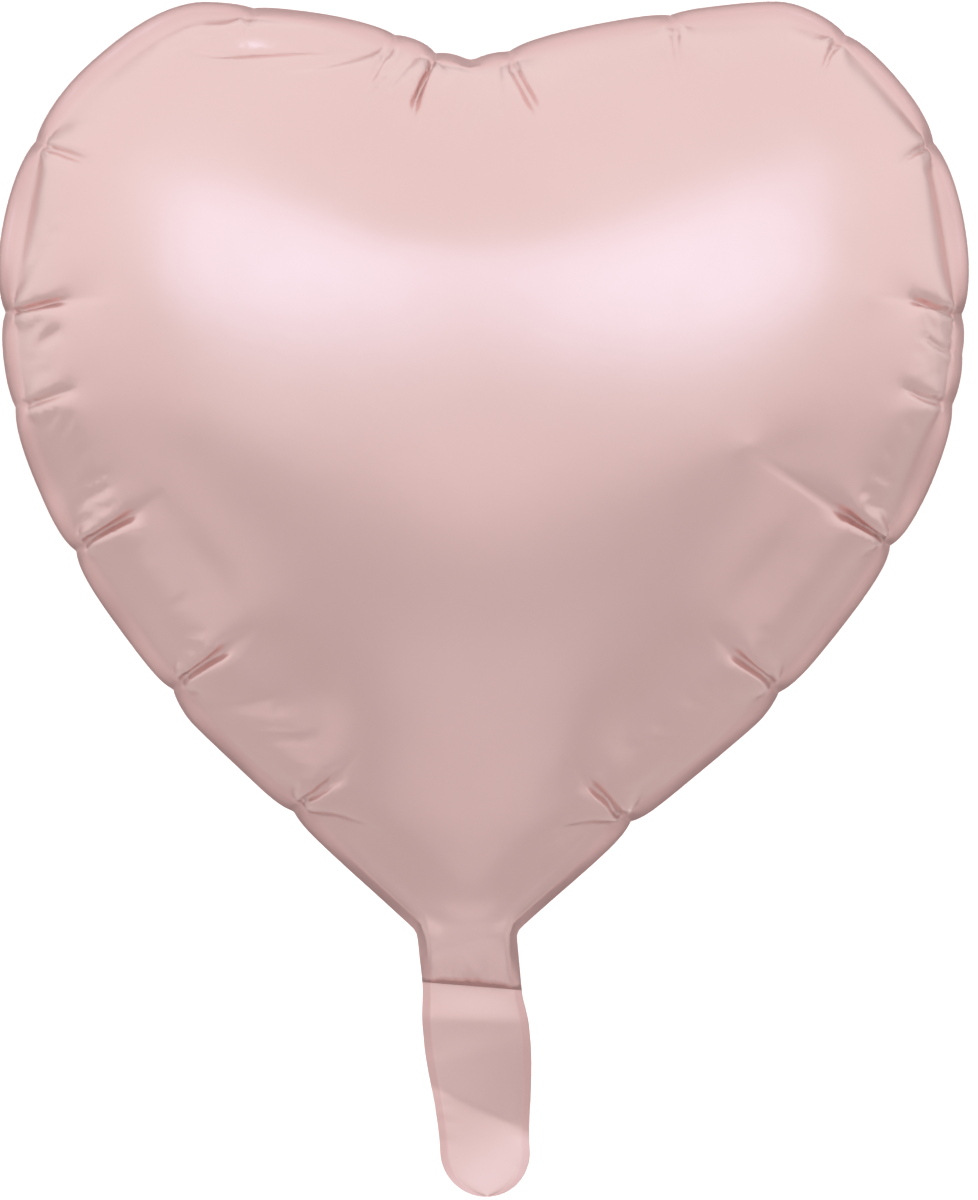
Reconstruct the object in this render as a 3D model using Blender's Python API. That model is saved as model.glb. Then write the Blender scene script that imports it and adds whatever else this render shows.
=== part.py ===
"""Heart-shaped foil balloon: two films heat-sealed at the rim, a flat filler tail and a self-sealing valve.

Metres, +Z up. -Y is the front. The origin is the middle of the neck, on the fold line where the heart's
point runs into the tail: a ribbon is tied there. Each film is modelled thicker than the real one, which
is about 0.04 mm, and touching layers keep a small gap.
"""

import math

import bmesh
import bpy
import numpy as np

# The inflated heart, over its weld flange.
BODY_WIDTH = 0.400
BODY_HEIGHT = 0.383
BODY_DEPTH = 0.190
CLEFT_HEIGHT = 0.360
LOBE_TOP_X = 0.097
SIDE_HEIGHT = 0.262
FLANK_END = (0.120, 0.091)

# The tail.
TAIL_WIDTH = 0.041
TAIL_LENGTH = 0.110
CREASE_DROP = 0.032

# The self-sealing valve, a pair of clear films from the tail up through the neck.
VALVE_INLET_DROP = 0.086
VALVE_RISE = 0.055
VALVE_MOUTH_SHARE = 0.6

# Layers.
FILM = 0.0004
VALVE_FILM = 0.0003
GAP = 0.0003
SEAL_WIDTH = 0.0045

# Shape of the dome: its height over the films' plane falls as (1 - r^ROUND)^EDGE towards the seam.
ROUND = 2.1
EDGE = 0.6
DOME_CENTRE_HEIGHT = 0.235
MOUTH_OPEN = 0.006

# Room for the film hinges to turn.
NECK_CLEAR_UP = 0.0019
NECK_CLEAR_DOWN = 0.0005
CREASE_CLEAR = 0.0013
VALVE_SIDE_CLEAR = 0.0005

# Mesh fineness.
BEZIER_STEPS = 9
FLANK_STEPS = 7
MOUTH_STEPS = 6
DOME_RINGS = 8
END_STEPS = 16

# Layer planes, as distances in front of or behind the middle plane.
VALVE_IN = GAP / 2
VALVE_OUT = VALVE_IN + VALVE_FILM
FILM_IN = VALVE_OUT + GAP
FILM_OUT = FILM_IN + FILM
WELD_HALF = FILM_IN - GAP
HALF_TAIL = TAIL_WIDTH / 2
HALF_MOUTH = HALF_TAIL - SEAL_WIDTH
FRONT, BACK = -1, 1

ROSE_FOIL = (0.86, 0.62, 0.60, 1)
ROSE_WELD = (0.78, 0.54, 0.53, 1)
CLEAR_FILM = (0.90, 0.90, 0.88, 1)


def clear_scene():
    for obj in list(bpy.data.objects):
        bpy.data.objects.remove(obj, do_unlink=True)


def material(name, colour, roughness, metallic):
    made = bpy.data.materials.new(name)
    made.use_nodes = True
    shader = made.node_tree.nodes["Principled BSDF"]
    shader.inputs["Base Color"].default_value = colour
    shader.inputs["Roughness"].default_value = roughness
    shader.inputs["Metallic"].default_value = metallic
    return made


def empty(name, location, parent=None):
    """A joint's axis marker. What hangs on it is modelled round the origin and parented to it."""
    made = bpy.data.objects.new(name, None)
    bpy.context.scene.collection.objects.link(made)
    made.location = location
    made.parent = parent
    return made


def add_object(name, bm, look, parent=None, smooth=False):
    """Turns a bmesh in world coordinates into an object whose origin is its parent's."""
    mesh = bpy.data.meshes.new(name)
    bmesh.ops.recalc_face_normals(bm, faces=bm.faces)
    bm.to_mesh(mesh)
    bm.free()
    mesh.materials.append(look)
    if smooth:
        mesh.shade_smooth()
        mesh.set_sharp_from_angle(angle=math.radians(35))
    obj = bpy.data.objects.new(name, mesh)
    bpy.context.scene.collection.objects.link(obj)
    if parent:
        bpy.context.view_layer.update()
        mesh.transform(parent.matrix_world.inverted())
        obj.parent = parent
    return obj


# The outline


def bezier(start, handle_1, handle_2, end, steps):
    """Points along a cubic curve, without its end point."""
    t = np.linspace(0, 1, steps, endpoint=False)[:, None]
    p0, p1, p2, p3 = (np.array(p, float) for p in (start, handle_1, handle_2, end))
    return (1 - t) ** 3 * p0 + 3 * (1 - t) ** 2 * t * p1 + 3 * (1 - t) * t**2 * p2 + t**3 * p3


def heart_side():
    """The right side of the heart's outer edge in XZ, from the neck's corner up to the cleft."""
    half = BODY_WIDTH / 2
    neck = (HALF_TAIL, NECK_CLEAR_UP)
    side = (half, SIDE_HEIGHT)
    lobe = (LOBE_TOP_X, BODY_HEIGHT)
    cleft = (0.0, CLEFT_HEIGHT)
    flank = np.linspace(neck, FLANK_END, FLANK_STEPS, endpoint=False)
    return np.concatenate(
        [
            flank,
            bezier(FLANK_END, (0.165, 0.132), (half, 0.187), side, BEZIER_STEPS),
            bezier(side, (half, 0.335), (0.150, BODY_HEIGHT), lobe, BEZIER_STEPS),
            bezier(lobe, (0.067, BODY_HEIGHT), (0.026, 0.372), cleft, BEZIER_STEPS),
            [cleft],
        ]
    )


def moved_in(points, distance):
    """The outline moved inwards by a distance, each corner along its bisector."""
    after = np.diff(points, axis=0, append=points[-1:])
    before = np.diff(points, axis=0, prepend=points[:1])
    after[-1], before[0] = before[-1], after[0]
    after /= np.linalg.norm(after, axis=1)[:, None]
    before /= np.linalg.norm(before, axis=1)[:, None]
    normal_a = np.stack([-after[:, 1], after[:, 0]], axis=1)
    normal_b = np.stack([-before[:, 1], before[:, 0]], axis=1)
    bisector = normal_a + normal_b
    scale = 2 / (bisector * bisector).sum(axis=1)
    return points + bisector * scale[:, None] * distance


def whole_outline():
    """(outer edge, seam line) round the heart, from the neck's right corner to its left corner."""
    right = heart_side()
    left = right[-2::-1] * np.array([-1, 1])
    outer = np.concatenate([right, left])
    seam = moved_in(outer, SEAL_WIDTH)
    seam[0] = (HALF_MOUTH, NECK_CLEAR_UP)
    seam[-1] = (-HALF_MOUTH, NECK_CLEAR_UP)
    return outer, seam


# The heart


def dome_ring(seam, mouth, share):
    """Points (x, height over the films' plane, z) where the dome has come this share of the way out from its centre.

    Rings are round near the centre and take the heart's outline as they near the seam.
    """
    centre = np.array([0, DOME_CENTRE_HEIGHT])
    rim = np.concatenate([seam, mouth])
    out = rim - centre
    reach = np.linalg.norm(out, axis=1)
    round_reach = reach.min() + share * (reach - reach.min())
    place = centre + share * out * (round_reach / reach)[:, None]
    open_share = np.zeros(len(rim))
    open_share[len(seam) :] = MOUTH_OPEN * (1 - (mouth[:, 0] / HALF_MOUTH) ** 2)
    height = BODY_DEPTH / 2 - FILM_OUT
    height = height * (1 - (share * (1 - open_share)) ** ROUND) ** EDGE
    return np.stack([place[:, 0], height, place[:, 1]], axis=1)


def heart_panel(name, side, outer, seam, look):
    """One inflated film: a dome, its flat weld flange, and the open mouth of the neck at the bottom."""
    steps = np.linspace(-HALF_MOUTH, HALF_MOUTH, MOUTH_STEPS, endpoint=False)[1:]
    mouth = np.stack([steps, np.full(len(steps), NECK_CLEAR_UP)], axis=1)
    bm = bmesh.new()

    def ring(points):
        return [bm.verts.new((x, side * (FILM_OUT + height), z)) for x, height, z in points]

    shares = np.sin(np.linspace(math.pi / 2, 0, DOME_RINGS, endpoint=False))
    rings = [ring(dome_ring(seam, mouth, share)) for share in shares]
    for wide, narrow in zip(rings, rings[1:]):
        for i in range(len(wide)):
            j = (i + 1) % len(wide)
            bm.faces.new((wide[i], wide[j], narrow[j], narrow[i]))
    top = bm.verts.new((0, side * BODY_DEPTH / 2, DOME_CENTRE_HEIGHT))
    last = rings[-1]
    for i in range(len(last)):
        bm.faces.new((last[i], last[(i + 1) % len(last)], top))
    flange = ring([(x, 0, z) for x, z in outer])
    for i in range(len(outer) - 1):
        bm.faces.new((flange[i], flange[i + 1], rings[0][i + 1], rings[0][i]))
    obj = add_object(name, bm, look, smooth=True)
    face_outwards(obj.data, side)
    wall = obj.modifiers.new("film thickness", "SOLIDIFY")
    wall.thickness = FILM
    wall.offset = -1
    wall.use_even_offset = True
    return obj


def face_outwards(mesh, side):
    """Turns an open film so that its faces point away from the balloon's inside."""
    if sum(face.normal.y * face.area for face in mesh.polygons) * side < 0:
        mesh.flip_normals()


def strip(name, edge_a, edge_b, half_thickness, look, parent=None):
    """A flat band between two lines in XZ, centred on the middle plane."""
    bm = bmesh.new()
    a = [bm.verts.new((x, -half_thickness, z)) for x, z in edge_a]
    b = [bm.verts.new((x, -half_thickness, z)) for x, z in edge_b]
    for i in range(len(a) - 1):
        bm.faces.new((a[i], a[i + 1], b[i + 1], b[i]))
    thicken(bm, 2 * half_thickness)
    return add_object(name, bm, look, parent)


def thicken(bm, depth):
    """Extrudes a flat sheet along +Y into a closed plate."""
    made = bmesh.ops.extrude_face_region(bm, geom=bm.faces[:])
    moved = [v for v in made["geom"] if isinstance(v, bmesh.types.BMVert)]
    bmesh.ops.translate(bm, verts=moved, vec=(0, depth, 0))


def plate(name, outline, near, far, look, parent=None):
    """A flat film with this outline in XZ, from y near to y far."""
    low, high = sorted((near, far))
    bm = bmesh.new()
    bm.faces.new([bm.verts.new((x, low, z)) for x, z in outline])
    thicken(bm, high - low)
    return add_object(name, bm, look, parent)


def rectangle(half_width, top, bottom):
    return [(-half_width, top), (half_width, top), (half_width, bottom), (-half_width, bottom)]


def rounded_tail(top):
    """The lower tail's outline: straight sides and a half-round end."""
    end_centre = -TAIL_LENGTH + HALF_TAIL
    angles = np.linspace(0, -math.pi, END_STEPS + 1)
    end = [(HALF_TAIL * math.cos(a), end_centre + HALF_TAIL * math.sin(a)) for a in angles]
    return [(-HALF_TAIL, top), (HALF_TAIL, top), *end]


# The tail and the valve


def tail_section(prefix, outline, top, seal_bottom, foil, weld, hinge):
    """Front and back films of one stretch of tail, and the two side welds that join them."""
    for word, side in (("front", FRONT), ("back", BACK)):
        plate(f"{prefix}_{word}_film", outline, side * FILM_IN, side * FILM_OUT, foil, hinge)
    for word, side in (("left", -1), ("right", 1)):
        inner = [(side * HALF_MOUTH, top), (side * HALF_MOUTH, seal_bottom)]
        outer = [(side * HALF_TAIL, top), (side * HALF_TAIL, seal_bottom)]
        strip(f"{prefix}_weld_{word}", inner, outer, WELD_HALF, weld, hinge)


def valve_films(name, top, bottom, clear, hinge):
    """The valve's front and back clear films over one stretch of tail."""
    outline = rectangle(HALF_MOUTH - VALVE_SIDE_CLEAR, top, bottom)
    for word, side in (("front", FRONT), ("back", BACK)):
        plate(f"{name}_{word}", outline, side * VALVE_IN, side * VALVE_OUT, clear, hinge)


def valve_lips(clear):
    """The valve's free upper ends inside the heart, which gas presses shut. Each turns on its own fold."""
    bottom = NECK_CLEAR_UP + GAP
    half = HALF_MOUTH - VALVE_SIDE_CLEAR
    mouth = half * VALVE_MOUTH_SHARE
    outline = [(-half, bottom), (half, bottom), (mouth, bottom + VALVE_RISE), (-mouth, bottom + VALVE_RISE)]
    for word, side in (("front", FRONT), ("back", BACK)):
        middle = side * (VALVE_IN + VALVE_OUT) / 2
        fold = empty(f"valve_{word}_fold", (0, middle, bottom))
        plate(f"valve_lip_{word}", outline, side * VALVE_IN, side * VALVE_OUT, clear, fold)


def build():
    clear_scene()
    foil = material("rose_foil", ROSE_FOIL, 0.35, 1.0)
    weld = material("rose_weld", ROSE_WELD, 0.45, 0.6)
    clear = material("clear_film", CLEAR_FILM, 0.25, 0.0)

    outer, seam = whole_outline()
    heart_panel("heart_front_film", FRONT, outer, seam, foil)
    heart_panel("heart_back_film", BACK, outer, seam, foil)
    strip("heart_rim_weld", seam, outer, WELD_HALF, weld)
    valve_lips(clear)

    neck_fold = empty("neck_fold", (0, 0, 0))
    neck_top = -NECK_CLEAR_DOWN
    neck_bottom = -CREASE_DROP + CREASE_CLEAR
    neck_outline = rectangle(HALF_TAIL, neck_top, neck_bottom)
    tail_section("neck", neck_outline, neck_top, neck_bottom, foil, weld, neck_fold)
    valve_films("valve_channel", neck_top, neck_bottom, clear, neck_fold)

    crease_fold = empty("crease_fold", (0, 0, -CREASE_DROP), neck_fold)
    tail_top = -CREASE_DROP - CREASE_CLEAR
    seal_bottom = -TAIL_LENGTH + HALF_TAIL
    tail_section("tail", rounded_tail(tail_top), tail_top, seal_bottom, foil, weld, crease_fold)
    valve_films("valve_inlet", tail_top, -VALVE_INLET_DROP, clear, crease_fold)


build()
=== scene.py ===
"""Heart-shaped foil balloon: the looks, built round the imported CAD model.

Each foil film is cut a little larger than its finished rim, then blown up with cloth pressure while the rim
is drawn in, so that the film gathers into short creases at the seam as real foil does.
Metres, +Z up, -Y is the front.
"""

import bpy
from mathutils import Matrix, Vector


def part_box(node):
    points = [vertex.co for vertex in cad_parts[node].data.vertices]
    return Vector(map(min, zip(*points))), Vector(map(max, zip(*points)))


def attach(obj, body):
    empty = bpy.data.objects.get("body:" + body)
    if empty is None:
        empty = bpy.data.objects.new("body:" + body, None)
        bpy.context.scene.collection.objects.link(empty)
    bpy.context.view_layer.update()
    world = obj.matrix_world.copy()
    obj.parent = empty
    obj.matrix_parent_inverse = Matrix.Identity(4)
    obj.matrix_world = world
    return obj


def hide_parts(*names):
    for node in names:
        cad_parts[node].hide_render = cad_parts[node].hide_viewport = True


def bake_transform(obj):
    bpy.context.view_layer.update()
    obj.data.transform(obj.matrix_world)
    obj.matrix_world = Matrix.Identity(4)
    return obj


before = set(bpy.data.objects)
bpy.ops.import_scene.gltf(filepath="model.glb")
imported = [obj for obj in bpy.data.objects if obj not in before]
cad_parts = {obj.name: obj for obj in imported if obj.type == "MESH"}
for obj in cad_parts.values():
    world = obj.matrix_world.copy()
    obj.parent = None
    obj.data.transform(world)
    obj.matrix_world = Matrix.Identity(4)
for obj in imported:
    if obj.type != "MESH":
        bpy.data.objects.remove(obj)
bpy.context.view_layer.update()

import math

import bpy
import numpy as np
from mathutils import Vector, geometry, kdtree

# Sizes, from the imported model.
HEART_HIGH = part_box("heart_front_film")[1]
NECK_LOW, NECK_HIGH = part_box("neck_front_film")
TAIL_LOW, TAIL_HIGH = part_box("tail_front_film")
LIP_LOW, LIP_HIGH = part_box("valve_lip_front")
INLET_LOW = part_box("valve_inlet_front")[0]
HALF_WIDTH = HEART_HIGH.x
BODY_TOP = HEART_HIGH.z
HALF_NECK = NECK_HIGH.x
TAIL_END = TAIL_LOW.z

# The heart's outline, right half: its widest point, its top, its cleft and the end of its straight flank.
SIDE_Z = 0.270
LOBE_X = 0.118
CLEFT_Z = 0.359
FLANK_END = (0.118, 0.0867)
SEAM_WIDTH = 0.0034

# Where the heart's skins end, and how far the tail's skins reach up behind them.
SPLIT_Z = NECK_LOW.z + 0.0080
TAIL_OVERLAP = 0.0036

# Creases round the rim: angle round the heart's middle in degrees from +X, length in metres, strength.
MIDDLE = np.array([0.0, 0.235])
CREASES = [
    (-70.3, 0.044, 1.4), (-47.6, 0.040, 1.3), (-24.5, 0.078, 1.5), (-5.4, 0.024, 0.8), (0.9, 0.014, 0.4),
    (5.4, 0.046, 1.2), (26.0, 0.022, 0.9), (42.5, 0.022, 0.8), (62.6, 0.030, 0.8), (83.9, 0.048, 1.1),
    (96.3, 0.052, 1.5), (104.3, 0.048, 0.7), (123.5, 0.020, 0.7), (153.9, 0.036, 0.8), (174.3, 0.046, 1.2),
    (185.8, 0.026, 0.8), (205.2, 0.042, 1.3), (227.1, 0.040, 1.3), (248.5, 0.036, 1.2),
]

# The film's points: fine by the seam and along the creases, coarse over the belly.
NEAR_SPACING = 0.0022
FAR_SPACING = 0.0050
NEAR_DEPTH = 0.026
MIDDLE_DEPTH = 0.044
EDGE_ROWS = (0.0018, 0.0037)
LINE_OFFSETS = (-0.0034, -0.0021, -0.0010, 0, 0.0010, 0.0021, 0.0034)
LINE_STEP = 0.0019
LINE_CLEARANCE = 0.0015

# How much larger than its finished rim the film is cut, and its height over the plane before the cloth run.
SIDE_GROWTH = 0.028
TOP_GROWTH = 0.010
FOOT_GROWTH = 0.015
REST_HEIGHT = 0.082
START_HEIGHT = 0.088

# A crease: the film gathered into it, its notch in the rim, its valley, and the sharp line down the valley.
TUCK = 0.006
TUCK_WIDTH = 0.004
NOTCH = 0.0022
NOTCH_WIDTH = 0.006
VALLEY = 0.006
VALLEY_WIDTH = 0.0019
GROOVE = 0.0006
GROOVE_WIDTH = 0.0010

# The cloth run.
PRESSURE = 800
FILM_STIFFNESS = 150
FILM_BENDING = 0.3
DRAW_IN_FRAMES = 8
FRAMES = 18

# The sunken band between the belly and the lower edges: depth, distance from the seam, width.
TROUGH = 0.0045
TROUGH_IN = 0.036
TROUGH_WIDTH = 0.015

# Layers.
FILM = 0.00012
VALVE_FILM = 0.00003
HALF_GAP = 0.00012
LIP_CLEARANCE = 0.0004
VALVE_MOUTH_SHARE = 0.6

# How far the film by the cleft is pulled to the left.
CLEFT_SHIFT = -0.0065

# The camera: the picture's height to width, its width against the balloon's, the distance, the sensor in mm.
PHOTO_ASPECT = 1200 / 978
FRAME_WIDTH_SHARE = 0.403 / 0.400
CAMERA_DISTANCE = 2.6
SENSOR = 36

FRONT, BACK = -1, 1
rng = np.random.default_rng(4)


def link(name, mesh):
    """A new object of this mesh in the scene."""
    obj = bpy.data.objects.new(name, mesh)
    bpy.context.scene.collection.objects.link(obj)
    return obj


def smoothstep(t):
    """0 below 0, 1 above 1, and smooth between."""
    t = np.clip(t, 0, 1)
    return t * t * (3 - 2 * t)


# ---------------------------------------------------------------- outline


def bezier(start, handle_1, handle_2, end, steps=120):
    """Points along a cubic curve, without its end point."""
    t = np.linspace(0, 1, steps, endpoint=False)[:, None]
    p0, p1, p2, p3 = (np.array(p, float) for p in (start, handle_1, handle_2, end))
    return (1 - t) ** 3 * p0 + 3 * (1 - t) ** 2 * t * p1 + 3 * (1 - t) * t**2 * p2 + t**3 * p3


def right_side():
    """The outer edge in XZ from the foot of the neck up to the cleft."""
    side, lobe, cleft = (HALF_WIDTH, SIDE_Z), (LOBE_X, BODY_TOP), (0.0, CLEFT_Z)
    foot, corner = (HALF_NECK, SPLIT_Z), (HALF_NECK, 0.0)
    return np.concatenate(
        [
            np.linspace(foot, corner, 40, endpoint=False),
            np.linspace(corner, FLANK_END, 120, endpoint=False),
            bezier(FLANK_END, (0.177, 0.156), (HALF_WIDTH, 0.196), side),
            bezier(side, (HALF_WIDTH, 0.340), (0.143, BODY_TOP), lobe),
            bezier(lobe, (0.085, BODY_TOP), (0.024, 0.3715), cleft),
            [cleft],
        ]
    )


def evenly(points, step):
    """(points about one step apart, how far along each one is)."""
    along = np.r_[0, np.cumsum(np.linalg.norm(np.diff(points, axis=0), axis=1))]
    count = int(round(along[-1] / step))
    where = np.linspace(0, along[-1], count + 1)
    return np.stack([np.interp(where, along, points[:, k]) for k in range(2)], 1), where


def inward(points):
    """The direction into the heart at each point of its anticlockwise edge."""
    tangent = np.gradient(points, axis=0)
    tangent /= np.linalg.norm(tangent, axis=1)[:, None]
    return np.stack([-tangent[:, 1], tangent[:, 0]], 1)


def softened(points, passes):
    """The line with its corners rounded and its ends where they were."""
    points = points.copy()
    for _ in range(passes):
        points[1:-1] = (points[:-2] + 2 * points[1:-1] + points[2:]) / 4
    return points


class Rim:
    """The heart's rim: its outer edge and seam line, laid flat and as finished."""

    def __init__(self):
        right = right_side()
        edge, self.along = evenly(np.concatenate([right, right[-2::-1] * [-1, 1]]), NEAR_SPACING)
        self.outer = softened(edge, 1)
        self.normal = inward(self.outer)
        self.seam = self.outer + self.normal * SEAM_WIDTH
        away = self.outer - MIDDLE
        angle = np.degrees(np.unwrap(np.arctan2(away[:, 1], away[:, 0])))
        self.crease_at = np.interp([crease[0] for crease in CREASES], angle, self.along)
        self.place_points()

    def at(self, line, where):
        """The line's values at these distances along the rim."""
        return np.stack([np.interp(where, self.along, line[:, k]) for k in range(line.shape[1])], 1)

    def crease_points(self):
        """Rows of points along each crease line in the pattern, so that the line can be sharp."""
        points = []
        for place, (_, length, _) in zip(self.crease_in_pattern, CREASES):
            start = self.at(self.seam, np.array([place]))[0]
            inwards = self.at(self.normal, np.array([place]))[0]
            sideways = np.array([inwards[1], -inwards[0]])
            for t in np.arange(0.0056, length, LINE_STEP):
                points += [tuple(start + inwards * t + sideways * offset) for offset in LINE_OFFSETS]
        return points

    def place_points(self):
        """Gathers film at each crease: where each evenly spaced point of the pattern's edge ends up."""
        density = np.zeros(len(self.along))
        for place, (_, _, strength) in zip(self.crease_at, CREASES):
            bell = np.exp(-(((self.along - place) / TUCK_WIDTH) ** 2))
            density += TUCK * strength * bell / (TUCK_WIDTH * math.sqrt(math.pi))
        total = self.along[-1]
        step = np.diff(self.along)
        gathered = ((density[1:] + density[:-1]) / 2 * step).sum()
        density += 1 + SIDE_GROWTH - gathered / total
        pattern = np.r_[0, np.cumsum((density[1:] + density[:-1]) / 2 * step)]
        pattern *= total / pattern[-1]
        final = np.interp(self.along, pattern, self.along)
        self.crease_in_pattern = np.interp(self.crease_at, self.along, pattern)
        dent = np.zeros(len(final))
        for place, (_, _, strength) in zip(self.crease_at, CREASES):
            dent += NOTCH * strength * np.exp(-np.abs(final - place) / NOTCH_WIDTH)
        shift = self.at(self.normal, final) * dent[:, None]
        self.final_outer = self.at(self.outer, final) + shift
        self.final_seam = self.at(self.seam, final) + shift


# ---------------------------------------------------------------- the flat film


def inside(loop, x, z):
    """Whether the point is inside the closed loop."""
    ahead = np.roll(loop, -1, axis=0)
    crosses = (loop[:, 1] > z) != (ahead[:, 1] > z)
    at_x = (ahead[:, 0] - loop[:, 0]) * (z - loop[:, 1]) / (ahead[:, 1] - loop[:, 1] + 1e-15) + loop[:, 0]
    return (crosses & (x < at_x)).sum() % 2 == 1


def tree_of(points):
    """A search tree of flat points."""
    tree = kdtree.KDTree(len(points))
    for i, (x, z) in enumerate(points):
        tree.insert((x, z, 0), i)
    tree.balance()
    return tree


def scatter(loop, tree, lines, spacing, nearest, furthest):
    """Jittered grid points inside the loop, this far from its seam and clear of the crease lines."""
    found = []
    (low_x, low_z), (high_x, high_z) = loop.min(0), loop.max(0)
    row_step = spacing * math.sqrt(3) / 2
    for row in range(int((high_z - low_z) / row_step) + 1):
        offset = spacing / 2 if row % 2 else 0
        for column in range(int((high_x - low_x) / spacing) + 1):
            jitter = (rng.random(2) - 0.5) * spacing * 0.3
            x = low_x + offset + column * spacing + jitter[0]
            z = low_z + row * row_step + jitter[1]
            clear = z > low_z + spacing * 0.6
            clear = clear and nearest <= tree.find((x, z, 0))[2] < furthest
            if clear and lines.find((x, z, 0))[2] > LINE_CLEARANCE and inside(loop, x, z):
                found.append((x, z))
    return found


class Film:
    """A triangulated flat film: the seam ring, the foot line, the inner points, then the outer edge."""

    def __init__(self, rim):
        foot_count = int((rim.seam[0, 0] - rim.seam[-1, 0]) / NEAR_SPACING)
        foot = np.linspace(rim.seam[-1], rim.seam[0], foot_count + 2)[1:-1]
        loop = np.concatenate([rim.seam, foot])
        tree = tree_of(rim.seam)
        near, far = NEAR_SPACING, FAR_SPACING
        creases = [p for p in rim.crease_points() if inside(loop, *p) and tree.find((*p, 0))[2] > 0.0045]
        lines = tree_of(creases)
        points = list(creases)
        for depth in EDGE_ROWS:
            for x, z in rim.seam + rim.normal * depth:
                clear = z > loop[:, 1].min() + near * 0.6 and tree.find((x, z, 0))[2] > depth * 0.9
                if clear and inside(loop, x, z):
                    points.append((x, z))
        points += scatter(loop, tree, lines, near, EDGE_ROWS[-1] + near * 0.7, NEAR_DEPTH)
        points += scatter(loop, tree, lines, (near + far) / 2, NEAR_DEPTH + near * 0.3, MIDDLE_DEPTH)
        points += scatter(loop, tree, lines, far, MIDDLE_DEPTH + near * 0.5, 1)
        every = [Vector(p) for p in loop] + [Vector(p) for p in points]
        edges = [(i, (i + 1) % len(loop)) for i in range(len(loop))]
        made = geometry.delaunay_2d_cdt(every, edges, [], 1, 1e-9)
        flat = np.array([(v.x, v.y) for v in made[0]])
        faces = [list(face) for face in made[2]]
        first = len(flat)
        for i in range(len(rim.seam) - 1):
            faces.append([i, first + i, first + i + 1])
            faces.append([i, first + i + 1, i + 1])
        self.flat = np.concatenate([flat, rim.outer])
        faces = np.array(faces)
        a, b, c = (self.flat[faces[:, k]] for k in range(3))
        turned = (b - a)[:, 0] * (c - a)[:, 1] - (b - a)[:, 1] * (c - a)[:, 0] < 0
        faces[turned] = faces[turned][:, ::-1]
        self.faces = faces
        self.pinned = np.r_[np.arange(len(loop)), np.arange(first, len(self.flat))]
        self.goal = np.concatenate([rim.final_seam, foot, rim.final_outer])
        found = [tree.find((x, z, 0)) for x, z in self.flat]
        self.distance = np.array([hit[2] for hit in found])
        self.along = rim.along[[hit[1] for hit in found]]
        self.distance[first:] = 0
        self.weigh()

    def weigh(self):
        """Cotangent weights of the triangulation."""
        rows, columns, weights = [], [], []
        area = np.zeros(len(self.flat))
        for k in range(3):
            i, j, o = (self.faces[:, (k + step) % 3] for step in range(3))
            u, v = self.flat[i] - self.flat[o], self.flat[j] - self.flat[o]
            cross = np.abs(u[:, 0] * v[:, 1] - u[:, 1] * v[:, 0])
            weight = np.clip((u * v).sum(1) / cross / 2, 0.005, None)
            rows += [i, j]
            columns += [j, i]
            weights += [weight, weight]
            np.add.at(area, o, cross / 6)
        self.rows, self.columns = np.concatenate(rows), np.concatenate(columns)
        self.weights, self.area = np.concatenate(weights), area
        self.diagonal = np.bincount(self.rows, self.weights, len(self.flat))

    def solve(self, source, held, rounds=600):
        """The membrane equation's answer: source load on the free points, held values on the rest."""
        free = np.ones(len(self.flat), bool)
        free[self.pinned] = False

        def apply(values):
            return np.where(free, self.diagonal * values - self.pull(values), 0)

        residual = np.where(free, source + self.pull(np.where(free, 0, held)), 0)
        answer, step = np.zeros(len(self.flat)), residual.copy()
        size = residual @ residual + 1e-30
        for _ in range(rounds):
            moved = apply(step)
            share = size / (step @ moved + 1e-30)
            answer += share * step
            residual -= share * moved
            new_size = residual @ residual
            if new_size < 1e-22:
                break
            step = residual + new_size / size * step
            size = new_size
        return np.where(free, answer, held)

    def pull(self, values):
        """The weighted sum of each point's neighbours."""
        return np.bincount(self.rows, self.weights * values[self.columns], len(self.flat))

    def evened(self, points):
        """The points with the finest jaggedness by the seam and over the belly taken out."""
        share = np.where(self.distance < 0.012, 0.025, 0.6 * smoothstep((self.distance - 0.020) / 0.010))
        share[self.pinned] = 0
        for _ in range(16):
            around = np.stack([self.pull(points[:, k]) for k in range(3)], 1) / self.diagonal[:, None]
            points = points + (around - points) * share[:, None]
        return points

    def normals(self, points):
        """Which way is out of the film at each point."""
        a, b, c = (points[self.faces[:, k]] for k in range(3))
        cross = np.cross(b - a, c - a)
        total = np.zeros_like(points)
        for corner in range(3):
            for k in range(3):
                total[:, k] += np.bincount(self.faces[:, corner], cross[:, k], len(points))
        return total / (np.linalg.norm(total, axis=1)[:, None] + 1e-12)

    def dome(self):
        """A pillow's height over the plane, from 0 at the seam to 1."""
        load = self.solve(self.area, np.zeros(len(self.flat)))
        return np.clip(load / load.max(), 0, 1) ** 0.55

    def valleys(self, rim, points, width):
        """How deep the creases, at this width, press into the film at these points."""
        deepest = np.zeros(len(points))
        for place, (_, length, strength) in zip(rim.crease_in_pattern, CREASES):
            start = rim.at(rim.seam, np.array([place]))[0]
            normal = rim.at(rim.normal, np.array([place]))[0]
            away = points - start
            inwards = away @ normal
            sideways = away @ np.array([normal[1], -normal[0]])
            fade = np.clip(1 - inwards / length, 0, 1) * (inwards > -0.001)
            spread = width * (1 + np.clip(inwards, 0, None) / 0.060)
            deepest = np.maximum(deepest, strength * fade**0.8 * np.exp(-((sideways / spread) ** 2)))
        return deepest


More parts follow.
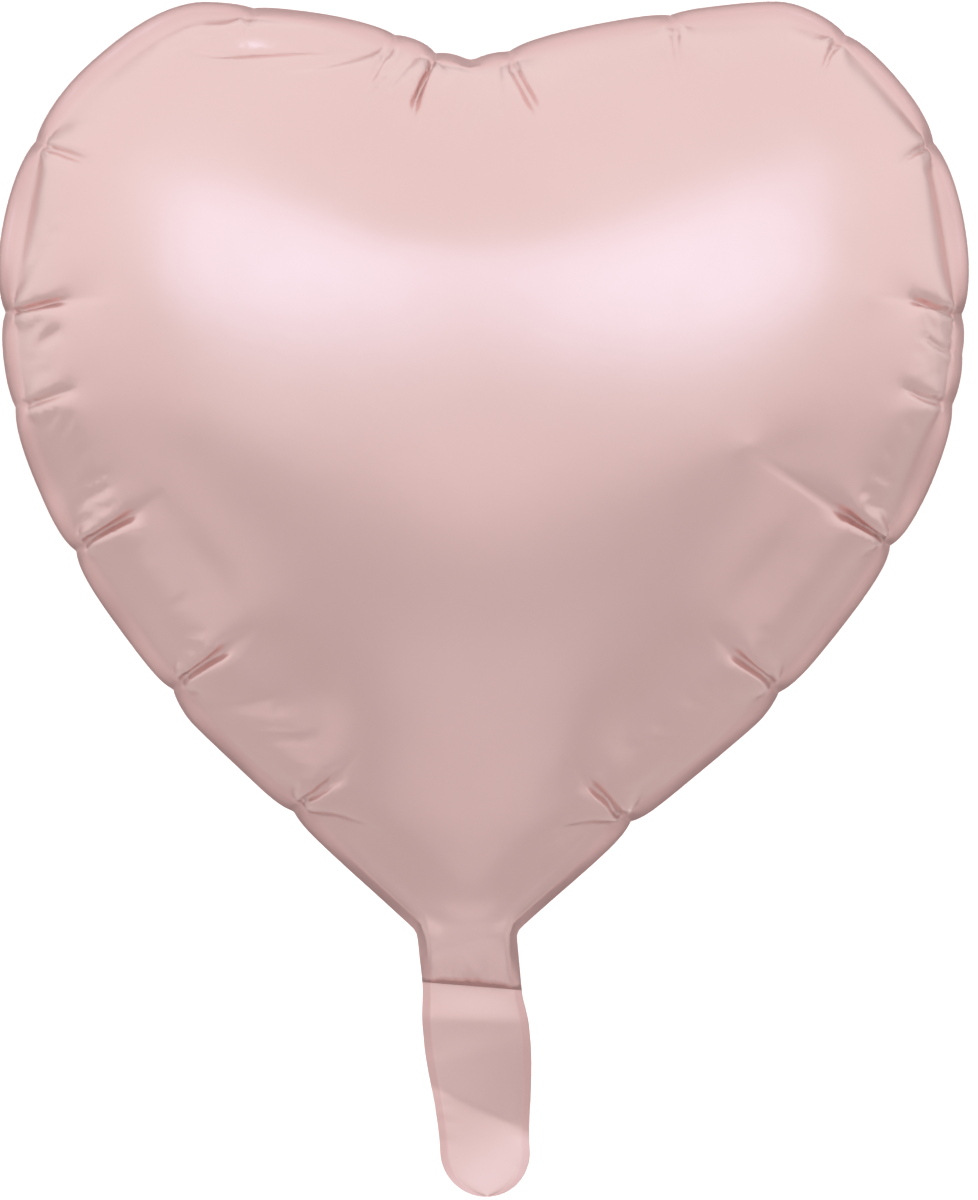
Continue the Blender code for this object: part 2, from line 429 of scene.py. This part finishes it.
def inflated(rim, film):
    """The front film blown up: its points, in front of the plane of the rim."""
    dome = film.dome()
    valley = film.valleys(rim, film.flat, VALLEY_WIDTH)
    z = film.flat[:, 1]
    sideways = 1 + SIDE_GROWTH * (1 - 0.65 * smoothstep((z - 0.29) / 0.08))
    upright = 1 + np.where(z > MIDDLE[1], TOP_GROWTH, FOOT_GROWTH)
    wide = MIDDLE + (film.flat - MIDDLE) * np.stack([sideways, upright], 1)
    rest_height = REST_HEIGHT * dome
    rest_height -= VALLEY * valley * np.clip(rest_height / 0.01, 0, 1)
    rest = np.stack([wide[:, 0], -np.clip(rest_height, 0, None), wide[:, 1]], 1)
    goal = np.zeros_like(film.flat)
    goal[film.pinned] = film.goal - film.flat[film.pinned]
    nothing = np.zeros(len(film.flat))
    moved = np.stack([film.solve(nothing, goal[:, k]) for k in range(2)], 1)
    drawn_in = film.flat + moved
    height = START_HEIGHT * dome
    height -= VALLEY * valley * np.clip(height / 0.01, 0, 1)
    target = np.stack([drawn_in[:, 0], -np.clip(height, 0, None), drawn_in[:, 1]], 1)
    return blown_up(film, rest, target)


def blown_up(film, rest, target):
    """Cloth under pressure, cut to rest, while its rim is drawn in to target."""
    mesh = bpy.data.meshes.new("film_simulation")
    mesh.from_pydata(rest.tolist(), [], film.faces.tolist())
    obj = link("film_simulation", mesh)
    obj.shape_key_add(name="Basis")
    drawn = obj.shape_key_add(name="drawn_in")
    drawn.data.foreach_set("co", target.astype(np.float32).ravel())
    for value, at_frame in ((0, 1), (1, 1 + DRAW_IN_FRAMES)):
        drawn.value = value
        drawn.keyframe_insert("value", frame=at_frame)
    rim_group = obj.vertex_groups.new(name="rim")
    rim_group.add(film.pinned.tolist(), 1.0, "REPLACE")
    cloth = obj.modifiers.new("inflate", "CLOTH")
    settings = cloth.settings
    settings.quality = 8
    settings.mass = 0.1
    settings.tension_stiffness = FILM_STIFFNESS
    settings.compression_stiffness = FILM_STIFFNESS
    settings.shear_stiffness = FILM_STIFFNESS / 2
    settings.bending_stiffness = FILM_BENDING
    settings.tension_damping = 10
    settings.compression_damping = 10
    settings.shear_damping = 10
    settings.bending_damping = 1
    settings.air_damping = 2
    settings.use_pressure = True
    settings.uniform_pressure_force = PRESSURE
    settings.effector_weights.gravity = 0
    settings.vertex_group_mass = "rim"
    cloth.collision_settings.use_collision = False
    cloth.collision_settings.use_self_collision = False
    cloth.point_cache.frame_start = 1
    cloth.point_cache.frame_end = FRAMES
    scene = bpy.context.scene
    scene.frame_start, scene.frame_end = 1, FRAMES
    for at_frame in range(1, FRAMES + 1):
        scene.frame_set(at_frame)
    evaluated = obj.evaluated_get(bpy.context.evaluated_depsgraph_get())
    points = np.empty(len(film.flat) * 3, np.float32)
    evaluated.data.vertices.foreach_get("co", points)
    keys = mesh.shape_keys
    bpy.data.objects.remove(obj)
    keys.animation_data_clear()
    bpy.data.meshes.remove(mesh)
    scene.frame_set(1)
    return points.reshape(-1, 3).astype(float)


# ---------------------------------------------------------------- how the whole balloon hangs


def lean(z):
    """How far the balloon's middle line stands to the right, by height."""
    heights = [TAIL_END, -0.070, -0.030, 0.0, 0.052, 0.108, 0.181, 0.300, 0.350, BODY_TOP]
    shifts = [0.0075, 0.0055, 0.0020, -0.0010, 0.0, 0.0040, 0.0060, 0.0060, 0.0068, 0.0085]
    return np.interp(z, heights, shifts)


def turned(distance, turn, radius):
    """Height gained past a fold line by a film that turns by this slope, round this radius."""
    return turn * (np.sqrt(distance**2 + radius**2) + distance - radius) / 2


def tail_bow(x, z):
    """How far the neck's and tail's middle surface stands behind the plane of the rim."""
    down = -z
    y = turned(down + 0.012, -0.22, 0.004)
    y += turned(down - 0.006 + 0.25 * x, 0.56, 0.0025)
    y += turned(down - 0.0225, -0.30, 0.0012)
    y += turned(down - 0.0365, 0.16, 0.0018)
    across = (down - 0.0755) - 0.52 * (x - 0.002)
    y += turned(across * 0.887, -0.33, 0.0014)
    y += 0.0009 * np.sin(down * 92 + x * 60) * smoothstep((down - 0.035) / 0.02)
    return y * smoothstep((down + 0.016) / 0.016)


def hung(points):
    """Points of the straight balloon moved to where they hang."""
    x, y, z = points.T
    pull = CLEFT_SHIFT * np.exp(-((x / 0.045) ** 2) - ((z - CLEFT_Z) / 0.045) ** 2)
    askew = -0.09 * x * np.exp(-(((z - SPLIT_Z) / 0.014) ** 2))
    return np.stack([x + lean(z) + pull, y + tail_bow(x, z), z + askew], 1)


def rim_wave(film):
    """The seam line's small sway out of its plane, the same for both films."""
    a = film.along
    sway = 0.0011 * np.sin(a / 0.0105 + 0.7) + 0.0008 * np.sin(a / 0.0061 + 2.1)
    ends = smoothstep(a / 0.08) * smoothstep((film.along.max() - a) / 0.08)
    return sway * ends * np.exp(-film.distance / 0.012)


def groove(rim, film):
    """How deep the sharp line at the bottom of each crease is."""
    upper = 1 + 0.5 * smoothstep((film.flat[:, 1] - 0.31) / 0.03)
    return GROOVE * upper * film.valleys(rim, film.flat, GROOVE_WIDTH) * smoothstep(film.distance / 0.005)


def lower_trough(rim, film):
    """How deep the film sinks between the belly and the gathered lower edges."""
    x, z = film.flat.T
    depth = np.exp(-(((film.distance - TROUGH_IN) / TROUGH_WIDTH) ** 2))
    for place in rim.crease_at:
        depth = depth * (1 - 0.45 * np.exp(-(((film.along - place) / 0.016) ** 2)))
    return TROUGH * depth * smoothstep((0.205 - z) / 0.06) * smoothstep((np.abs(x) - 0.035) / 0.03)


# ---------------------------------------------------------------- pieces


def skin(name, points, faces, side, look, thickness=FILM, sealed=None):
    """A film as an object: its outer surface is at the points, and its thickness goes inwards."""
    mesh = bpy.data.meshes.new(name)
    turned_faces = faces if side == FRONT else faces[:, ::-1]
    mesh.from_pydata(points.tolist(), [], turned_faces.tolist())
    mesh.update()
    mesh.shade_smooth()
    mesh.materials.append(look)
    if sealed is not None:
        mesh.attributes.new("sealed", "FLOAT", "POINT").data.foreach_set("value", sealed.astype(np.float32))
    obj = link(name, mesh)
    wall = obj.modifiers.new("film", "SOLIDIFY")
    wall.thickness = thickness
    wall.offset = -1
    return obj


def heart_skins(rim, film, look):
    """The two inflated films, from the seam line's outer edge down to the split in the neck."""
    front = film.evened(inflated(rim, film))
    wave = rim_wave(film)
    sealed = 1 - smoothstep(film.distance / 0.0012)
    made = []
    sunk = lower_trough(rim, film) + groove(rim, film)
    front -= film.normals(front) * sunk[:, None]
    for word, side in (("front", FRONT), ("back", BACK)):
        points = front.copy()
        points[:, 1] = side * (np.clip(-front[:, 1], 0, None) + HALF_GAP + FILM) + wave
        obj = skin(f"{word}_foil", hung(points), film.faces, side, look, sealed=sealed)
        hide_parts(f"heart_{word}_film", f"neck_{word}_film")
        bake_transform(obj)
        made.append(obj)
    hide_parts("heart_rim_weld", "neck_weld_left", "neck_weld_right")
    return made


def tail_outline(z):
    """Half the tail's width at this height: full below the neck, and a half-round end."""
    half = HALF_NECK + (TAIL_HIGH.x + 0.0015 - HALF_NECK) * smoothstep((SPLIT_Z - z) / 0.016)
    half -= 0.0035 * smoothstep((-0.045 - z) / 0.045)
    radius = half
    centre = TAIL_END + radius
    return np.where(z < centre, np.sqrt(np.clip(radius**2 - (z - centre) ** 2, 0, None)), half)


def tail_grid(half_at, top, bottom, rows, columns):
    """Grid points (x, z) and faces of a film of this half width from top to bottom."""
    t = np.linspace(0, 1, rows)
    heights = bottom + (top - bottom) * (1 - np.sin(t * math.pi / 2))
    across = np.sin(np.linspace(-1, 1, columns) * math.pi / 2 * 0.9) / math.sin(math.pi / 2 * 0.9)
    points = np.array([(u * half_at(z), z) for z in heights for u in across])
    faces = []
    for row in range(rows - 1):
        for column in range(columns - 1):
            a = row * columns + column
            faces.append((a, a + columns, a + columns + 1, a + 1))
    return points, np.array(faces)


def tail_skins(look):
    """The two flat films of the tail, welded at their sides."""
    points, faces = tail_grid(tail_outline, SPLIT_Z + TAIL_OVERLAP, TAIL_END + 0.00001, 90, 45)
    x, z = points.T
    half = tail_outline(z)
    inner = np.clip(half - SEAM_WIDTH, 0.001, None)
    sealed = smoothstep((np.abs(x) - inner) / 0.0006)
    puff = 0.0010 * np.clip(1 - (x / inner) ** 2, 0, None) ** 0.7
    puff *= smoothstep((SPLIT_Z - z) / 0.016) * (0.35 + 0.65 * smoothstep((z - TAIL_END) / 0.05))
    hidden = smoothstep((z - SPLIT_Z + 0.0004) / 0.0008)
    by_the_seal = np.exp(-(((np.abs(x) - inner) / 0.004) ** 2)) * (1 - hidden)
    ripple = np.sin(z / 0.0031 + 2 * np.sin(z / 0.011) + x * 90)
    pucker = np.abs(0.00010 * ripple * by_the_seal)
    made = []
    for word, side in (("front", FRONT), ("back", BACK)):
        y = side * (HALF_GAP + FILM - 0.00003 - 0.00008 * hidden + puff + pucker)
        obj = skin(f"tail_{word}_foil", hung(np.stack([x, y, z], 1)), faces, side, look, sealed=sealed)
        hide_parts(f"tail_{word}_film")
        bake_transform(obj)
        made.append(obj)
    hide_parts("tail_weld_left", "tail_weld_right")
    return made


def valve_film(part, word, top, bottom, half_top, half_bottom, side, look):
    """One clear film of the valve over a stretch of the balloon."""

    def half_at(z):
        return half_bottom + (half_top - half_bottom) * smoothstep((z - bottom) / (top - bottom))

    points, faces = tail_grid(half_at, top, bottom, 24, 13)
    x, z = points.T
    y = side * (0.00004 + 0.00004 * np.cos(x / half_bottom * math.pi / 2))
    points = hung(np.stack([x, y, z], 1))
    obj = skin(f"valve_{word}_{part}", points, faces, side, look, thickness=VALVE_FILM)
    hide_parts(f"valve_{part}_{word}")
    return obj


def valve(look):
    """The self-sealing valve: two clear films, each with a lip in the heart, a channel and an inlet."""
    half = LIP_HIGH.x
    foot = LIP_LOW.z + LIP_CLEARANCE
    for word, side in (("front", FRONT), ("back", BACK)):
        lip = valve_film("lip", word, LIP_HIGH.z, foot, half * VALVE_MOUTH_SHARE, half, side, look)
        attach(lip, f"{word}_lip")
        upper = valve_film("channel", word, LIP_LOW.z, SPLIT_Z, half, half, side, look)
        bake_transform(upper)
        lower = valve_film("inlet", word, SPLIT_Z, INLET_LOW.z, half, half, side, look)
        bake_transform(lower)


# ---------------------------------------------------------------- materials


class Nodes:
    """Short names for making a node material."""

    def __init__(self, name):
        self.material = bpy.data.materials.new(name)
        self.material.use_nodes = True
        self.tree = self.material.node_tree
        self.shader = self.tree.nodes["Principled BSDF"]
        self.place = self.add("ShaderNodeTexCoord").outputs["Object"]

    def add(self, kind, **settings):
        node = self.tree.nodes.new(kind)
        for key, value in settings.items():
            setattr(node, key, value)
        return node

    def join(self, output, target):
        self.tree.links.new(output, target)

    def noise(self, scale, detail=2.0, roughness=0.5, stretch=(1, 1, 1), distortion=0.0):
        mapping = self.add("ShaderNodeMapping")
        mapping.inputs["Scale"].default_value = stretch
        self.join(self.place, mapping.inputs["Vector"])
        node = self.add("ShaderNodeTexNoise")
        node.inputs["Scale"].default_value = scale
        node.inputs["Detail"].default_value = detail
        node.inputs["Roughness"].default_value = roughness
        node.inputs["Distortion"].default_value = distortion
        self.join(mapping.outputs["Vector"], node.inputs["Vector"])
        return node.outputs["Fac"]

    def ramp(self, factor, low, high, dark, light):
        node = self.add("ShaderNodeValToRGB")
        node.color_ramp.elements[0].position, node.color_ramp.elements[0].color = low, dark
        node.color_ramp.elements[1].position, node.color_ramp.elements[1].color = high, light
        self.join(factor, node.inputs["Fac"])
        return node.outputs["Color"]

    def spread(self, factor, low, high):
        node = self.add("ShaderNodeMapRange")
        node.inputs["To Min"].default_value = low
        node.inputs["To Max"].default_value = high
        self.join(factor, node.inputs["Value"])
        return node.outputs["Result"]

    def mix(self, factor, colour, other):
        node = self.add("ShaderNodeMix", data_type="RGBA")
        self.join(factor, node.inputs[0])
        self.join(colour, node.inputs[6])
        node.inputs[7].default_value = other
        return node.outputs[2]

    def arithmetic(self, operation, a, b):
        node = self.add("ShaderNodeMath", operation=operation)
        self.join(a, node.inputs[0])
        if isinstance(b, float):
            node.inputs[1].default_value = b
        else:
            self.join(b, node.inputs[1])
        return node.outputs[0]

    def product(self, a, b):
        return self.arithmetic("MULTIPLY", a, b)

    def total(self, a, b):
        return self.arithmetic("ADD", a, b)

    def bump(self, height, distance, strength, normal=None):
        node = self.add("ShaderNodeBump")
        node.inputs["Distance"].default_value = distance
        node.inputs["Strength"].default_value = strength
        self.join(height, node.inputs["Height"])
        if normal:
            self.join(normal, node.inputs["Normal"])
        return node.outputs["Normal"]


def foil_material():
    """Satin metallised film, pale rose, a little darker and ribbed where it is sealed."""
    made = Nodes("rose_satin_foil")
    shader = made.shader
    shader.inputs["Metallic"].default_value = 0.85
    shader.inputs["Coat Weight"].default_value = 0.35
    shader.inputs["Coat Roughness"].default_value = 0.30
    sealed = made.add("ShaderNodeAttribute", attribute_name="sealed").outputs["Fac"]
    tint = made.ramp(made.noise(9, 3), 0.35, 0.65, (0.84, 0.58, 0.555, 1), (0.87, 0.61, 0.585, 1))
    made.join(made.mix(sealed, tint, (0.80, 0.52, 0.50, 1)), shader.inputs["Base Color"])
    satin = made.spread(made.noise(60, 4, 0.6), 0.27, 0.35)
    made.join(made.total(satin, made.product(sealed, 0.07)), shader.inputs["Roughness"])
    soft = made.bump(made.noise(95, 3, 0.55, distortion=0.4), 0.0006, 0.10)
    rolled = made.bump(made.noise(260, 2, stretch=(1, 1, 0.12)), 0.00010, 0.12, soft)
    grain = made.bump(made.noise(900, 2), 0.00008, 0.10, rolled)
    ribs = made.product(sealed, made.noise(1500, 1, stretch=(1, 1, 1.6)))
    made.join(made.bump(ribs, 0.00012, 0.35, grain), shader.inputs["Normal"])
    return made.material


def valve_material():
    """Thin milky polyethylene film."""
    made = Nodes("milky_valve_film")
    shader = made.shader
    milky = made.ramp(made.noise(60), 0.4, 0.6, (0.80, 0.80, 0.78, 1), (0.88, 0.88, 0.86, 1))
    made.join(milky, shader.inputs["Base Color"])
    made.join(made.spread(made.noise(140), 0.25, 0.4), shader.inputs["Roughness"])
    shader.inputs["Transmission Weight"].default_value = 0.5
    made.join(made.bump(made.noise(220), 0.0002, 0.3), shader.inputs["Normal"])
    return made.material


def stage_material(name, colour):
    """Matt paper."""
    made = Nodes(name)
    made.shader.inputs["Roughness"].default_value = 0.9
    made.join(made.ramp(made.noise(3), 0.3, 0.7, colour, colour), made.shader.inputs["Base Color"])
    return made.material


# ---------------------------------------------------------------- stage, light and camera


def stage():
    """A pale floor that sweeps up into a backdrop."""
    floor_z, back_y, radius, half = -0.75, 3.3, 1.0, 3.6
    profile = [(-3.5, floor_z), (0.0, floor_z)]
    for step in range(13):
        angle = step / 12 * math.pi / 2
        y, z = back_y - radius + radius * math.sin(angle), floor_z + radius - radius * math.cos(angle)
        profile.append((y, z))
    profile.append((back_y, 3.0))
    points = [(x, y, z) for y, z in profile for x in (-half, half)]
    faces = [(2 * i, 2 * i + 1, 2 * i + 3, 2 * i + 2) for i in range(len(profile) - 1)]
    mesh = bpy.data.meshes.new("sweep")
    mesh.from_pydata(points, [], faces)
    mesh.shade_smooth()
    mesh.materials.append(stage_material("pale_paper", (0.585, 0.547, 0.537, 1)))
    link("sweep", mesh)


def area_light(name, place, aim, size, power, colour=(1, 1, 1)):
    """A rectangular light at the place, facing the aim."""
    data = bpy.data.lights.new(name, "AREA")
    data.shape = "RECTANGLE"
    data.size, data.size_y = size
    data.energy = power
    data.color = colour
    obj = bpy.data.objects.new(name, data)
    bpy.context.scene.collection.objects.link(obj)
    obj.location = place
    obj.rotation_euler = (Vector(aim) - Vector(place)).to_track_quat("-Z", "Y").to_euler()


def lights():
    """A soft room, brighter above than below, two big soft boxes high in front, and cards low down."""
    world = bpy.data.worlds.new("studio")
    world.use_nodes = True
    tree = world.node_tree
    direction = tree.nodes.new("ShaderNodeTexCoord").outputs["Generated"]
    parts = tree.nodes.new("ShaderNodeSeparateXYZ")
    spread = tree.nodes.new("ShaderNodeMapRange")
    spread.inputs["From Min"].default_value = -1
    ramp = tree.nodes.new("ShaderNodeValToRGB")
    tree.links.new(direction, parts.inputs["Vector"])
    tree.links.new(parts.outputs["Z"], spread.inputs["Value"])
    tree.links.new(spread.outputs["Result"], ramp.inputs["Fac"])
    tree.links.new(ramp.outputs["Color"], tree.nodes["Background"].inputs["Color"])
    shades = [(-1, 0.60), (-0.3, 0.81), (-0.08, 0.86), (0.04, 0.88), (0.18, 0.94), (0.5, 0.97), (1, 0.95)]
    elements = ramp.color_ramp.elements
    for _ in range(len(shades) - 2):
        elements.new(0.5)
    for element, (height, shade) in zip(elements, shades):
        element.position = (height + 1) / 2
        warm = 0.97 if height < 0 else 1
        element.color = (shade, shade * warm, shade * warm, 1)
    bpy.context.scene.world = world
    for word, x in (("left", -1), ("right", 1)):
        place = (x * 0.85, -1.7, 1.15)
        area_light(f"soft_box_{word}", place, (0, 0, 0.25), (1.6, 1.25), 4.1, (0.36, 0.68, 1))
        area_light(f"floor_card_{word}", (x * 2.0, -0.5, -0.72), (x * 2.0, -0.5, 1.0), (1.8, 1.2), 0.95)
    area_light("front_card", (0, -2.3, -0.5), (0, 0, 0.15), (0.8, 0.8), 0.35)
    area_light("floor_card", (0, -0.70, -0.70), (0, -0.70, 1.0), (0.8, 1.0), 0.38)
    area_light("back_wash_high", (0, 2.2, 1.7), (0, 3.3, 0.4), (1.5, 0.4), 29.5)
    area_light("back_wash_low", (0, 1.9, -0.6), (0, 3.1, -0.2), (1.5, 0.4), 25.5)


def camera():
    """Straight in front, as far as a long lens stands, with the balloon filling the frame."""
    picture_height = 2 * HALF_WIDTH * FRAME_WIDTH_SHARE * PHOTO_ASPECT
    data = bpy.data.cameras.new("camera")
    data.lens = SENSOR * CAMERA_DISTANCE / picture_height
    obj = bpy.data.objects.new("camera", data)
    bpy.context.scene.collection.objects.link(obj)
    obj.location = (0.0082, -CAMERA_DISTANCE, (BODY_TOP + TAIL_END) / 2)
    obj.rotation_euler = (math.radians(90), 0, 0)
    bpy.context.scene.camera = obj


def build():
    """The whole scene."""
    bpy.context.scene.view_settings.view_transform = "Standard"
    camera()
    lights()
    stage()
    foil = foil_material()
    rim = Rim()
    film = Film(rim)
    heart = heart_skins(rim, film, foil)
    tail = tail_skins(foil)
    valve(valve_material())


build()
